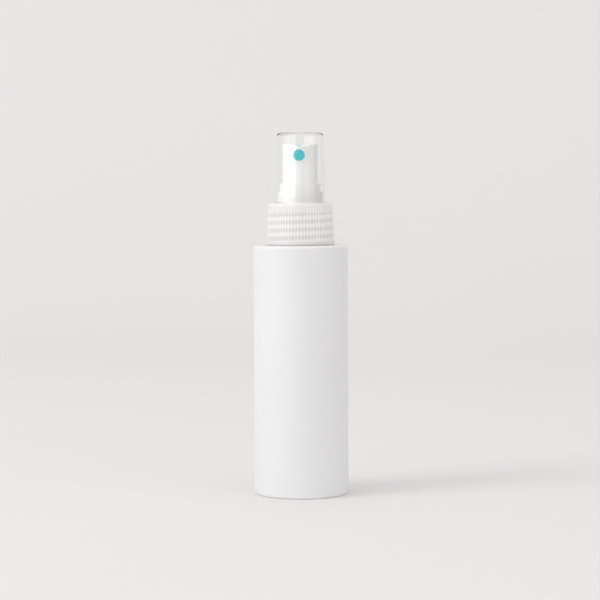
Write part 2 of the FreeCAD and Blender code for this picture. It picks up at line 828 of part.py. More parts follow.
def nozzle_boss(body):
    """The boss behind the nozzle, its room and post for the insert, and the feed from the stem."""
    section = new_sketch(body, "boss_section", "XZ_Plane", "feed_radius + socket_gap")
    circle(section, "nozzle_boss_radius", "0", "nozzle_z")
    document.recompute()
    boss = body.newObject("PartDesign::Pad", "boss")
    boss.Profile = section
    boss.setExpression("Length", bound(
        "sqrt(button_radius^2 - nozzle_boss_radius^2) - feed_radius - 2 * socket_gap"))
    document.recompute()
    room = new_sketch(body, "insert_room_section", "XZ_Plane", "insert_back - insert_end_gap")
    circle(room, "insert_pocket", "0", "nozzle_z")
    pocket(body, "insert_room", room, towards_normal=True)
    core = new_sketch(body, "post_section", "XZ_Plane", "insert_back - insert_end_gap")
    circle(core, "post_radius", "0", "nozzle_z")
    document.recompute()
    post = body.newObject("PartDesign::Pad", "post")
    post.Profile = core
    post.setExpression("Length", bound("insert_length - insert_front + insert_end_gap - post_gap"))
    document.recompute()
    feed = new_sketch(body, "cross_feed_section", "XZ_Plane")
    circle(feed, "cross_feed_radius", "0", "cross_feed_z")
    document.recompute()
    cut = body.newObject("PartDesign::Pocket", "cross_feed")
    cut.Profile = feed
    cut.Reversed = True
    cut.setExpression("Length", bound("insert_back"))
    document.recompute()


def button_top(body):
    """Slope the top down to the front and hollow it for a fingertip."""
    slope = new_sketch(body, "slope_outline", "YZ_Plane")
    closed_outline(slope, [
        ("-button_radius", "button_front"),
        ("button_radius", "button_back"),
        ("button_radius", "button_back + button_front_drop"),
        ("-button_radius", "button_back + button_front_drop"),
    ])
    pocket(body, "slope", slope, both_ways=True)
    dish = body.newObject("PartDesign::SubtractiveCylinder", "finger_dish")
    dish.setExpression("Radius", bound("dish_radius"))
    dish.setExpression("Height", bound("4 * button_radius"))
    floor_drop = "(button_front_drop + dish_front_depth - dish_back_depth)"
    tilt = f"atan({floor_drop} / (2 * button_radius))"
    floor_middle = "(button_back + button_front - dish_back_depth - dish_front_depth) / 2"
    dish.setExpression(".Placement.Rotation.Angle", bound(f"90deg + {tilt}"))
    dish.setExpression(".Placement.Base.y", bound(f"2 * button_radius * cos({tilt})"))
    dish.setExpression(".Placement.Base.z", bound(
        f"{floor_middle} + dish_radius / cos({tilt}) + 2 * button_radius * sin({tilt})"))
    dish.Placement.Rotation.Axis = FreeCAD.Vector(1, 0, 0)
    document.recompute()


def nozzle_insert():
    """A cup that turns about the nozzle's axis, which runs along -Y."""
    body = new_body("nozzle_insert")
    sketch = new_sketch(body, "cup_outline", "YZ_Plane")
    closed_outline(sketch, [
        ("-insert_back", "nozzle_z + insert_bore"),
        ("-insert_back", "nozzle_z + insert_radius"),
        ("-nozzle_front", "nozzle_z + insert_radius"),
        ("-nozzle_front", "nozzle_z + orifice_cone_radius"),
        ("orifice_cone_depth - nozzle_front", "nozzle_z + orifice_radius"),
        ("insert_front - nozzle_front", "nozzle_z + orifice_radius"),
        ("insert_front - nozzle_front", "nozzle_z + insert_bore"),
    ])
    axis = sketch.addGeometry(Part.LineSegment(
        FreeCAD.Vector(-value("nozzle_front"), value("nozzle_z"), 0),
        FreeCAD.Vector(-value("insert_back"), value("nozzle_z"), 0)), True)
    place_point(sketch, axis, 1, "-nozzle_front", "nozzle_z")
    place_point(sketch, axis, 2, "-insert_back", "nozzle_z")
    document.recompute()
    cup = body.newObject("PartDesign::Revolution", "cup")
    cup.Profile = sketch
    cup.ReferenceAxis = (sketch, ["Axis0"])
    cup.Angle = 360
    document.recompute()


def check_document():
    """Stop if any object failed, or if a sub-part isn't one valid solid."""
    for item in document.Objects:
        if "Invalid" in item.State or "Error" in item.State:
            raise RuntimeError(f"{item.Label} failed: {item.State}")
    for piece in sub_parts():
        shape = piece.Shape
        if shape.isNull() or not shape.isValid() or len(shape.Solids) != 1:
            raise RuntimeError(f"{piece.Label} is not one valid solid")


def sub_parts():
    return [item for item in document.Objects
            if item.isDerivedFrom("PartDesign::Body") or item.isDerivedFrom("Part::Sphere")]


bottle_body()
closure_cap()
overcap()
neck_gasket()
pump_housing()
stem_gasket()
pump_turret()
stem()
valve_rod()
piston()
coil_spring("precompression_spring", "compression_wire", "compression_radius",
            "compression_start", "compression_end", "compression_turns")
coil_spring("return_spring", "return_wire", "return_radius",
            "return_start", "return_end", "return_turns")
inlet_ball()
ball_cage()
dip_tube()
actuator_button()
nozzle_insert()
document.recompute()
check_document()
os.makedirs("parts", exist_ok=True)
for piece in sub_parts():
    piece.Shape.exportStep(f"parts/{piece.Label}.step")
    print(f"{piece.Label}: {piece.Shape.Volume:.1f} mm3")
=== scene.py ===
import json
import math
import bpy
import bmesh
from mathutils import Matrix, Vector


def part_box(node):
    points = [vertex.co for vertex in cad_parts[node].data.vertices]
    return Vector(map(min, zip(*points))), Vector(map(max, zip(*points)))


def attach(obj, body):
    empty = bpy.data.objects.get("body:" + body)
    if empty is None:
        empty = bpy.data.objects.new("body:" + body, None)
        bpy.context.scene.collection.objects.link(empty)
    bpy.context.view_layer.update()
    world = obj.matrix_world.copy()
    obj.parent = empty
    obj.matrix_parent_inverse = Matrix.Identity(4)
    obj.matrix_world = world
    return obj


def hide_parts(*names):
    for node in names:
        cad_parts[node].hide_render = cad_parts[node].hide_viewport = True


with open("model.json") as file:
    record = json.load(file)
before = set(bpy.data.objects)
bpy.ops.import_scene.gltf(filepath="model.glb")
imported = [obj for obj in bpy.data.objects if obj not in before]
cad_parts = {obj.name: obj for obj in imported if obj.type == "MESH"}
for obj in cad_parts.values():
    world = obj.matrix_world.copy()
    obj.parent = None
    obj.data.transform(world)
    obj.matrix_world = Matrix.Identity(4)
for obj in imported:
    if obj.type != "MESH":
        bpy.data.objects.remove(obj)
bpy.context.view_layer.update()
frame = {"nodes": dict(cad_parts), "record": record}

mm = 0.001
scene = bpy.context.scene
nodes = frame["nodes"]


# selecting and editing

def deselectAll():
    if bpy.context.mode != "OBJECT":
        bpy.ops.object.mode_set(mode="OBJECT")
    bpy.ops.object.select_all(action="DESELECT")


def makeActive(piece):
    deselectAll()
    piece.select_set(True)
    bpy.context.view_layer.objects.active = piece


def editPiece(piece):
    makeActive(piece)
    bpy.ops.object.mode_set(mode="EDIT")
    bpy.ops.mesh.select_mode(type="EDGE")


def selectEdges(piece, wanted):
    # the edges whose two ends both pass the test
    mesh = bmesh.from_edit_mesh(piece.data)
    for face in mesh.faces:
        face.select = False
    for edge in mesh.edges:
        edge.select = False
    for vertex in mesh.verts:
        vertex.select = False
    for edge in mesh.edges:
        if all(wanted(vertex.co) for vertex in edge.verts):
            edge.select_set(True)
    bmesh.update_edit_mesh(piece.data)


def onRing(place, radius, height, slack=0.004 * mm):
    return abs(place.z - height) < slack and abs(math.hypot(place.x, place.y) - radius) < slack


def closePoint(rise):
    # the selected ring ends in a point on the axis
    bpy.ops.mesh.extrude_region_move(TRANSFORM_OT_translate={"value": (0, 0, rise)})
    bpy.ops.mesh.merge(type="CENTER")


def turnedPiece(name, outline, sides=128, leftOpen=False):
    # a circle drawn out from corner to corner; an end on the axis closes in a point, and two open ends meet
    corners = [corner for corner in outline if corner[0] > 0]
    radius, height = corners[0]
    deselectAll()
    bpy.ops.mesh.primitive_circle_add(vertices=sides, radius=radius, location=(0, 0, height))
    piece = bpy.context.object
    piece.name = name
    bpy.ops.object.transform_apply(location=True, rotation=True, scale=True)
    editPiece(piece)
    bpy.ops.mesh.select_all(action="SELECT")
    for nextRadius, nextHeight in corners[1:]:
        bpy.ops.mesh.extrude_region_move(TRANSFORM_OT_translate={"value": (0, 0, nextHeight - height)})
        growth = nextRadius / radius
        bpy.ops.transform.resize(value=(growth, growth, 1), center_override=(0, 0, nextHeight))
        radius, height = nextRadius, nextHeight
    if outline[-1][0] == 0:
        closePoint(outline[-1][1] - height)
    if outline[0][0] == 0:
        selectEdges(piece, lambda place: onRing(place, *corners[0]))
        closePoint(outline[0][1] - corners[0][1])
    if outline[0][0] and outline[-1][0] and not leftOpen:
        selectEdges(piece, lambda place: onRing(place, *corners[0]) or onRing(place, *corners[-1]))
        bpy.ops.mesh.bridge_edge_loops()
    return piece


def roundRings(piece, rounds):
    # each is a radius, a height, how far the bevel reaches and its steps
    editPiece(piece)
    for radius, height, reach, steps in rounds:
        selectEdges(piece, lambda place: onRing(place, radius, height))
        bpy.ops.mesh.bevel(offset=reach, segments=steps, profile=0.5, affect="EDGES", clamp_overlap=False)


def outwards(piece):
    editPiece(piece)
    bpy.ops.mesh.select_all(action="SELECT")
    bpy.ops.mesh.remove_doubles(threshold=0.0005 * mm)
    bpy.ops.mesh.normals_make_consistent(inside=False)
    deselectAll()


def joinPieces(piece, others):
    makeActive(piece)
    for other in others:
        other.select_set(True)
    bpy.ops.object.join()


def applyModifier(piece, kind, **settings):
    makeActive(piece)
    bpy.ops.object.modifier_add(type=kind)
    modifier = piece.modifiers[-1]
    for name, value in settings.items():
        setattr(modifier, name, value)
    bpy.ops.object.modifier_apply(modifier=modifier.name)


def finishPiece(piece, body, node, material, smoothAngle=35, blocksLight=True):
    makeActive(piece)
    bpy.ops.object.shade_smooth_by_angle(angle=math.radians(smoothAngle))
    applyModifier(piece, "WEIGHTED_NORMAL", keep_sharp=True)
    piece.data.materials.clear()
    piece.data.materials.append(material)
    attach(piece, body)
    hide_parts(node)
    piece.visible_shadow = blocksLight
    print(piece.name, "done,", len(piece.data.polygons), "faces")


# materials

def newMaterial(name):
    material = bpy.data.materials.new(name)
    material.use_nodes = True
    tree = material.node_tree
    return material, tree.nodes, tree.links, tree.nodes["Principled BSDF"]


def calculate(shaderNodes, links, operation, *values):
    # a maths node on numbers or on other nodes' results
    step = shaderNodes.new("ShaderNodeMath")
    step.operation = operation
    for socket, number in zip(step.inputs, values):
        if isinstance(number, (int, float)):
            socket.default_value = number
        else:
            links.new(number, socket)
    return step.outputs["Value"]


def noiseHeight(shaderNodes, links, coordinates, scale, detail=3.0, stretch=(1, 1, 1)):
    # a noise on object coordinates, stretched along the axes
    mapping = shaderNodes.new("ShaderNodeMapping")
    mapping.inputs["Scale"].default_value = stretch
    links.new(coordinates.outputs["Object"], mapping.inputs["Vector"])
    noise = shaderNodes.new("ShaderNodeTexNoise")
    noise.inputs["Scale"].default_value = scale
    noise.inputs["Detail"].default_value = detail
    links.new(mapping.outputs["Vector"], noise.inputs["Vector"])
    return noise.outputs["Fac"]


def placeOf(shaderNodes, links, coordinates):
    # where on the piece the point is: its X, Y and Z
    place = shaderNodes.new("ShaderNodeSeparateXYZ")
    links.new(coordinates.outputs["Object"], place.inputs["Vector"])
    return place.outputs


def spread(shaderNodes, links, value, start, end, first, last, interpolation="LINEAR"):
    # runs from first, where the value is at start, to last, where it is at end
    step = shaderNodes.new("ShaderNodeMapRange")
    step.interpolation_type = interpolation
    step.inputs["From Min"].default_value = start
    step.inputs["From Max"].default_value = end
    step.inputs["To Min"].default_value = first
    step.inputs["To Max"].default_value = last
    links.new(value, step.inputs["Value"])
    return step.outputs["Result"]


def colourBetween(shaderNodes, links, factor, darker, lighter, low=0.35, high=0.65):
    ramp = shaderNodes.new("ShaderNodeValToRGB")
    ramp.color_ramp.elements[0].position = low
    ramp.color_ramp.elements[0].color = (*darker, 1)
    ramp.color_ramp.elements[1].position = high
    ramp.color_ramp.elements[1].color = (*lighter, 1)
    links.new(factor, ramp.inputs["Fac"])
    return ramp.outputs["Color"]


def mixColours(shaderNodes, links, factor, first, second):
    mix = shaderNodes.new("ShaderNodeMix")
    mix.data_type = "RGBA"
    links.new(factor, mix.inputs["Factor"])
    for colour, socket in ((first, mix.inputs[6]), (second, mix.inputs[7])):  # its colour sockets
        if isinstance(colour, tuple):
            socket.default_value = (*colour, 1)
        else:
            links.new(colour, socket)
    return mix.outputs[2]


def addBump(shaderNodes, links, shader, height, strength, distance):
    bump = shaderNodes.new("ShaderNodeBump")
    bump.inputs["Strength"].default_value = strength
    bump.inputs["Distance"].default_value = distance
    links.new(height, bump.inputs["Height"])
    links.new(bump.outputs["Normal"], shader.inputs["Normal"])


mouldedLook = {
    "naturalPlastic": {"darker": (0.80, 0.80, 0.78), "lighter": (0.84, 0.84, 0.82), "roughness": (0.22, 0.32),
                       "subsurface": 0.5, "transmission": 0.06, "ior": 1.49, "grain": 700, "bump": 0.06},
    "tealPlastic": {"darker": (0.020, 0.46, 0.53), "lighter": (0.035, 0.52, 0.59), "roughness": (0.28, 0.38),
                    "subsurface": 0.1, "transmission": 0.0, "ior": 1.48, "grain": 1500, "bump": 0.05},
    "pumpPlastic": {"darker": (0.80, 0.80, 0.78), "lighter": (0.84, 0.84, 0.82), "roughness": (0.35, 0.45),
                    "subsurface": 0.3, "transmission": 0.05, "ior": 1.49, "grain": 900, "bump": 0.05},
    "gasketFoam": {"darker": (0.78, 0.78, 0.76), "lighter": (0.86, 0.86, 0.85), "roughness": (0.7, 0.85),
                   "subsurface": 0.2, "transmission": 0.0, "ior": 1.45, "grain": 2600, "bump": 0.35},
    "sealRubber": {"darker": (0.025, 0.025, 0.027), "lighter": (0.045, 0.045, 0.047), "roughness": (0.5, 0.65),
                   "subsurface": 0.0, "transmission": 0.0, "ior": 1.52, "grain": 1800, "bump": 0.15},
}


allPlastic = {"cloudScale": 45, "cloudStretch": (1, 1, 0.6), "grainDepth": 0.05 * mm,
              "subsurfaceRadius": (1.0, 0.97, 0.92), "subsurfaceScale": 1.5 * mm}


def mouldedPlastic(name, look, tint=None, seam=None, paintedGlow=None):
    # a cloudy plastic with a fine grain; tint may lay another colour over it, seam may add a height,
    # and the last argument may add painted light: an emission that stands in for light coming through the wall
    material, shaderNodes, links, shader = newMaterial(name)
    coordinates = shaderNodes.new("ShaderNodeTexCoord")
    cloudy = noiseHeight(shaderNodes, links, coordinates, allPlastic["cloudScale"], stretch=allPlastic["cloudStretch"])
    grain = noiseHeight(shaderNodes, links, coordinates, look["grain"])
    colour = colourBetween(shaderNodes, links, cloudy, look["darker"], look["lighter"])
    if tint:
        colour = tint(shaderNodes, links, coordinates, colour)
    links.new(colour, shader.inputs["Base Color"])
    links.new(spread(shaderNodes, links, cloudy, 0, 1, *look["roughness"]), shader.inputs["Roughness"])
    height = grain
    if seam:
        height = calculate(shaderNodes, links, "ADD", grain, seam(shaderNodes, links, coordinates))
    addBump(shaderNodes, links, shader, height, look["bump"], allPlastic["grainDepth"])
    # painted light: an emission laid on the surface
    if paintedGlow:
        links.new(paintedGlow(shaderNodes, links, coordinates), shader.inputs["Emission Strength"])
    shader.inputs["Subsurface Weight"].default_value = look["subsurface"]
    shader.inputs["Subsurface Radius"].default_value = allPlastic["subsurfaceRadius"]
    shader.inputs["Subsurface Scale"].default_value = allPlastic["subsurfaceScale"]
    shader.inputs["Transmission Weight"].default_value = look["transmission"]
    shader.inputs["IOR"].default_value = look["ior"]
    return material


# the foot's glow is painted light: an emission on the lowest part of the bottle
bottleLook = {"darker": (0.755, 0.753, 0.757), "lighter": (0.775, 0.773, 0.777), "roughness": (0.42, 0.52),
              "subsurface": 0.25, "transmission": 0.0, "ior": 1.54, "grain": 900, "bump": 0.10,
              "seamWidth": 0.12 * mm, "seamHeight": 4.0, "paintedFootGlow": 0.13, "paintedFootGlowHeight": 1.7 * mm}


def bottlePlastic():
    def seam(shaderNodes, links, coordinates):
        # the line where the two halves of the mould met, down both sides and across the base
        away = calculate(shaderNodes, links, "ABSOLUTE", placeOf(shaderNodes, links, coordinates)["Y"])
        return spread(shaderNodes, links, away, 0, bottleLook["seamWidth"], bottleLook["seamHeight"], 0, "SMOOTHSTEP")

    def paintedFootGlow(shaderNodes, links, coordinates):
        # painted glow: an emission at the foot that stands in for light coming through the wall and lightens the dark
        # line where the foot meets the floor
        return spread(shaderNodes, links, placeOf(shaderNodes, links, coordinates)["Z"], 0,
                      bottleLook["paintedFootGlowHeight"], bottleLook["paintedFootGlow"], 0, "SMOOTHSTEP")
    return mouldedPlastic("bottlePlastic", bottleLook, seam=seam, paintedGlow=paintedFootGlow)


# the band colours and the flange colour are painted light and painted shade on one plastic
closureLook = {"darker": (0.79, 0.785, 0.77), "lighter": (0.82, 0.815, 0.80), "roughness": (0.25, 0.34),
               "subsurface": 0.5, "transmission": 0.08, "ior": 1.49, "grain": 700, "bump": 0.05,
               "paintedGapShade": (0.58, 0.59, 0.59), "paintedThreadLight": (0.88, 0.88, 0.87), "bandEdges": (0.25, 0.8), "strength": 0.62,
               "bandFade": 0.6 * mm, "valleyShare": 0.3, "flange": (0.72, 0.72, 0.71), "flangeShadeStrength": 0.8,
               "flangeShadeFade": 0.2 * mm}


def closurePlastic(foot, landFoot):
    # painted light and shade: the thread inside is painted as a paler band that climbs round the skirt, with painted
    # shade between its turns, and painted shade darkens the flange
    def tint(shaderNodes, links, coordinates, colour):
        look = closureLook
        place = placeOf(shaderNodes, links, coordinates)
        turned = calculate(shaderNodes, links, "ARCTAN2", place["Y"], place["X"])
        turned = calculate(shaderNodes, links, "DIVIDE", turned, 2 * math.pi)
        climbed = calculate(shaderNodes, links, "DIVIDE", place["Z"], threadSizes["pitch"])
        phase = calculate(shaderNodes, links, "SUBTRACT", climbed, turned)
        wave = calculate(shaderNodes, links, "SINE", calculate(shaderNodes, links, "MULTIPLY", phase, 2 * math.pi))
        wave = calculate(shaderNodes, links, "MULTIPLY_ADD", wave, 0.5, 0.5)
        # painted light over the thread, painted shade in the gap between its turns
        bands = colourBetween(shaderNodes, links, wave, look["paintedGapShade"], look["paintedThreadLight"], *look["bandEdges"])
        within = spread(shaderNodes, links, place["Z"], landFoot + look["bandFade"], landFoot - look["bandFade"],
                        0, look["strength"], "SMOOTHSTEP")
        ribs = calculate(shaderNodes, links, "MULTIPLY", turned, 2 * math.pi * closureSizes["ribs"])
        valley = calculate(shaderNodes, links, "MULTIPLY_ADD", calculate(shaderNodes, links, "COSINE", ribs),
                           -look["valleyShare"], 1 - look["valleyShare"])
        share = calculate(shaderNodes, links, "MULTIPLY", within, valley)
        banded = mixColours(shaderNodes, links, share, colour, bands)
        # painted shade: the flange below the ribs is darker
        flangeTop = foot + closureSizes["flangeHeight"]
        low = spread(shaderNodes, links, place["Z"], flangeTop + look["flangeShadeFade"], flangeTop - look["flangeShadeFade"],
                     0, look["flangeShadeStrength"])
        return mixColours(shaderNodes, links, low, banded, look["flange"])
    return mouldedPlastic("closurePlastic", closureLook, tint)


# the teal ring and spot are painted light from the insert behind the button's front
buttonLook = {"darker": (0.84, 0.84, 0.82), "lighter": (0.87, 0.87, 0.85), "roughness": (0.2, 0.3),
              "subsurface": 0.5, "transmission": 0.05, "ior": 1.49, "grain": 700, "bump": 0.05,
              "paintedGlow": (0.06, 0.50, 0.55), "ringRise": 0.4 * mm, "ringRadius": 3.55 * mm, "ringWidth": 0.45 * mm,
              "ringStrength": 0.17, "spotRise": 3.95 * mm, "spotWidth": 1.7 * mm, "spotFlatness": 0.34,
              "spotStrength": 1.0, "glowBack": -5.9 * mm}


def buttonPlastic(nozzleHeight):
    # painted light: the teal insert behind the front is painted into its colour as light coming through the wall, a
    # ring round the nozzle and a spot at the top edge
    def tint(shaderNodes, links, coordinates, colour):
        look = buttonLook
        place = placeOf(shaderNodes, links, coordinates)
        across = calculate(shaderNodes, links, "MULTIPLY", place["X"], place["X"])

        def distanceFrom(rise, flatness):
            up = calculate(shaderNodes, links, "SUBTRACT", place["Z"], nozzleHeight + rise)
            up = calculate(shaderNodes, links, "DIVIDE", up, flatness)
            up = calculate(shaderNodes, links, "MULTIPLY", up, up)
            return calculate(shaderNodes, links, "SQRT", calculate(shaderNodes, links, "ADD", up, across))

        ring = calculate(shaderNodes, links, "SUBTRACT", distanceFrom(look["ringRise"], 1), look["ringRadius"])
        ring = calculate(shaderNodes, links, "ABSOLUTE", ring)
        ring = spread(shaderNodes, links, ring, 0, look["ringWidth"], look["ringStrength"], 0, "SMOOTHSTEP")
        spot = spread(shaderNodes, links, distanceFrom(look["spotRise"], look["spotFlatness"]), 0,
                      look["spotWidth"], look["spotStrength"], 0, "SMOOTHSTEP")
        front = calculate(shaderNodes, links, "LESS_THAN", place["Y"], look["glowBack"])
        # painted light: the teal ring and spot, on the front only
        paintedGlow = calculate(shaderNodes, links, "MAXIMUM", ring, spot)
        paintedGlow = calculate(shaderNodes, links, "MULTIPLY", paintedGlow, front)
        return mixColours(shaderNodes, links, paintedGlow, colour, look["paintedGlow"])
    return mouldedPlastic("buttonPlastic", buttonLook, tint)


clearLook = {"darker": (0.994, 0.996, 0.997), "lighter": (1.0, 1.0, 1.0), "roughness": (0.0, 0.03), "ior": 1.40,
             "streakScale": 60, "streakStretch": (1, 1, 0.15), "bump": 0.008, "bumpDepth": 0.1 * mm,
             "shadow": (0.95, 0.95, 0.95)}


def clearPlastic():
    # clear to look through, and it lets the lamps through to what it covers
    material, shaderNodes, links, shader = newMaterial("clearPlastic")
    coordinates = shaderNodes.new("ShaderNodeTexCoord")
    streaks = noiseHeight(shaderNodes, links, coordinates, clearLook["streakScale"], stretch=clearLook["streakStretch"])
    links.new(colourBetween(shaderNodes, links, streaks, clearLook["darker"], clearLook["lighter"]),
              shader.inputs["Base Color"])
    links.new(spread(shaderNodes, links, streaks, 0, 1, *clearLook["roughness"]), shader.inputs["Roughness"])
    addBump(shaderNodes, links, shader, streaks, clearLook["bump"], clearLook["bumpDepth"])
    shader.inputs["Transmission Weight"].default_value = 1.0
    shader.inputs["IOR"].default_value = clearLook["ior"]
    through = shaderNodes.new("ShaderNodeBsdfTransparent")
    through.inputs["Color"].default_value = (*clearLook["shadow"], 1)
    path = shaderNodes.new("ShaderNodeLightPath")
    mix = shaderNodes.new("ShaderNodeMixShader")
    links.new(path.outputs["Is Shadow Ray"], mix.inputs["Fac"])
    links.new(shader.outputs["BSDF"], mix.inputs[1])
    links.new(through.outputs["BSDF"], mix.inputs[2])
    links.new(mix.outputs["Shader"], shaderNodes["Material Output"].inputs["Surface"])
    return material


springLook = {"darker": (0.56, 0.56, 0.55), "lighter": (0.68, 0.68, 0.67), "roughness": (0.18, 0.32),
              "lineScale": 1200, "lineStretch": (1, 1, 6), "bump": 0.1, "bumpDepth": 0.02 * mm}


def springSteel():
    # drawn wire: bright, with fine lines
    material, shaderNodes, links, shader = newMaterial("springSteel")
    coordinates = shaderNodes.new("ShaderNodeTexCoord")
    drawn = noiseHeight(shaderNodes, links, coordinates, springLook["lineScale"], stretch=springLook["lineStretch"])
    links.new(colourBetween(shaderNodes, links, drawn, springLook["darker"], springLook["lighter"]),
              shader.inputs["Base Color"])
    links.new(spread(shaderNodes, links, drawn, 0, 1, *springLook["roughness"]), shader.inputs["Roughness"])
    addBump(shaderNodes, links, shader, drawn, springLook["bump"], springLook["bumpDepth"])
    shader.inputs["Metallic"].default_value = 1.0
    return material


finishes = {name: mouldedPlastic(name, look) for name, look in mouldedLook.items()}
finishes["springSteel"] = springSteel()
slotFinish = {"natural_plastic": "naturalPlastic", "teal_plastic": "tealPlastic", "gasket_foam": "gasketFoam",
              "seal_rubber": "sealRubber", "spring_steel": "springSteel", "ball_steel": "springSteel",
              "tube_plastic": "naturalPlastic"}
for part in frame["record"]["subparts"]:
    finish = finishes[slotFinish.get(part["material_slot"], "pumpPlastic")]
    for materialSlot in nodes[part["node"]].material_slots:
        materialSlot.material = finish
print("materials done")


# bottle: its floor, foot, side, shoulder and neck, then the inside back down to the floor

bottleSizes = {"neckRadius": 10.8 * mm, "neckHeight": 13.7 * mm, "wall": 1.1 * mm, "neckWall": 1.5 * mm,
               "shoulderRound": 1.2 * mm, "footRound": 1.6 * mm, "neckRootRound": 0.5 * mm, "rimRound": 0.3 * mm,
               "footWidth": 4.5 * mm, "pushUp": 2.0 * mm, "pushUpSlope": 2.0 * mm, "floor": 1.2 * mm,
               "baseRound": 0.5 * mm, "insideRound": 0.8 * mm, "sides": 192}
threadSizes = {"pitch": 3.175 * mm, "height": 1.1 * mm, "foot": 1.7 * mm, "bite": 0.2 * mm, "stepsPerTurn": 72,
               "neckCrest": 0.8 * mm, "neckRise": 7.6 * mm, "neckTurns": 1.35,
               "closureCrest": 0.6 * mm, "closureStart": 1.1 * mm, "closureTurns": 2.6}


def threadRidge(name, root, crest, crestWidth, start, turns):
    # a plane stood on edge at the back, narrowed at its crest and screwed up round the axis
    deselectAll()
    bpy.ops.mesh.primitive_plane_add(size=1, rotation=(0, math.radians(90), 0))
    ridge = bpy.context.object
    ridge.name = name
    bpy.ops.object.transform_apply(location=True, rotation=True, scale=True)
    editPiece(ridge)
    bpy.ops.mesh.select_all(action="SELECT")
    bpy.ops.transform.resize(value=(1, abs(crest - root), threadSizes["foot"]), center_override=(0, 0, 0))
    bpy.ops.transform.translate(value=(0, (crest + root) / 2, start))
    selectEdges(ridge, lambda place: abs(place.y - crest) < 0.01 * mm)
    narrowing = crestWidth / threadSizes["foot"]
    bpy.ops.transform.resize(value=(1, 1, narrowing), center_override=(0, crest, start))
    bpy.ops.mesh.select_all(action="SELECT")
    bpy.ops.mesh.delete(type="ONLY_FACE")
    deselectAll()
    steps = round(threadSizes["stepsPerTurn"] * turns)
    applyModifier(ridge, "SCREW", axis="Z", angle=2 * math.pi * turns, screw_offset=threadSizes["pitch"] * turns,
                  steps=steps, render_steps=steps, use_merge_vertices=False)
    editPiece(ridge)
    bpy.ops.mesh.select_all(action="SELECT")
    bpy.ops.mesh.fill_holes(sides=4)
    outwards(ridge)
    return ridge


def addBottle():
    s = bottleSizes
    low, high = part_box("bottle_body")
    radius, rim = high.x, high.z
    shoulder = rim - s["neckHeight"]
    foot = radius - s["footWidth"]
    pushUp = foot - s["pushUpSlope"]
    inside, mouth = radius - s["wall"], s["neckRadius"] - s["neckWall"]
    floor = s["pushUp"] + s["floor"]
    bottle = turnedPiece("bottleShell", [
        (0, s["pushUp"]), (pushUp, s["pushUp"]), (foot, low.z), (radius, low.z), (radius, shoulder),
        (s["neckRadius"], shoulder), (s["neckRadius"], rim), (mouth, rim), (mouth, shoulder - s["wall"]),
        (inside, shoulder - s["wall"]), (inside, floor), (0, floor)], s["sides"])
    roundRings(bottle, [
        (radius, low.z, s["footRound"], 6), (radius, shoulder, s["shoulderRound"], 6),
        (s["neckRadius"], shoulder, s["neckRootRound"], 3), (s["neckRadius"], rim, s["rimRound"], 3),
        (mouth, rim, s["rimRound"], 3), (foot, low.z, s["baseRound"], 3),
        (pushUp, s["pushUp"], s["baseRound"], 3),
        (inside, shoulder - s["wall"], s["insideRound"], 3), (inside, floor, s["insideRound"], 3)])
    outwards(bottle)
    thread = threadRidge("neckThread", s["neckRadius"] - threadSizes["bite"], s["neckRadius"] + threadSizes["height"],
                         threadSizes["neckCrest"], shoulder + threadSizes["neckRise"], threadSizes["neckTurns"])
    joinPieces(bottle, [thread])
    finishPiece(bottle, "bottle", "bottle_body", bottlePlastic())


addBottle()

# closure: a drafted skirt with ribs, a plain collar on top and the ring that the overcap sits on

closureSizes = {"threadRoot": 12.15 * mm, "flangeHeight": 1.8 * mm, "flangeRound": 0.3 * mm, "valley": 13.4 * mm,
                "draft": 0.53 * mm, "ribs": 64, "pointsPerRib": 8, "ribDepth": 0.35 * mm, "upperRib": 0.97,
                "ribShape": {0: 1.0, 1: 0.86, 2: 0.12}, "collar": 1.5 * mm, "topRound": 1.35 * mm,
                "topWall": 1.2 * mm, "ring": 9.4 * mm, "ringRound": 0.3 * mm, "bead": 0.1 * mm, "beadRise": 2.5 * mm,
                "beadSpread": 0.4 * mm, "hole": 8.6 * mm, "land": 11.2 * mm, "landHeight": 2.8 * mm}


def raiseRibs(closure, radius, height, depth):
    # each rib's middle point stands furthest out, its neighbours less
    s = closureSizes
    points = s["ribs"] * s["pointsPerRib"]
    for step, share in s["ribShape"].items():
        mesh = bmesh.from_edit_mesh(closure.data)
        for vertex in mesh.verts:
            point = round(math.atan2(vertex.co.y, vertex.co.x) / (2 * math.pi) * points) % s["pointsPerRib"]
            vertex.select = onRing(vertex.co, radius, height) and min(point, s["pointsPerRib"] - point) == step
        bmesh.update_edit_mesh(closure.data)
        growth = (radius + share * depth) / radius
        bpy.ops.transform.resize(value=(growth, growth, 1), center_override=(0, 0, height))


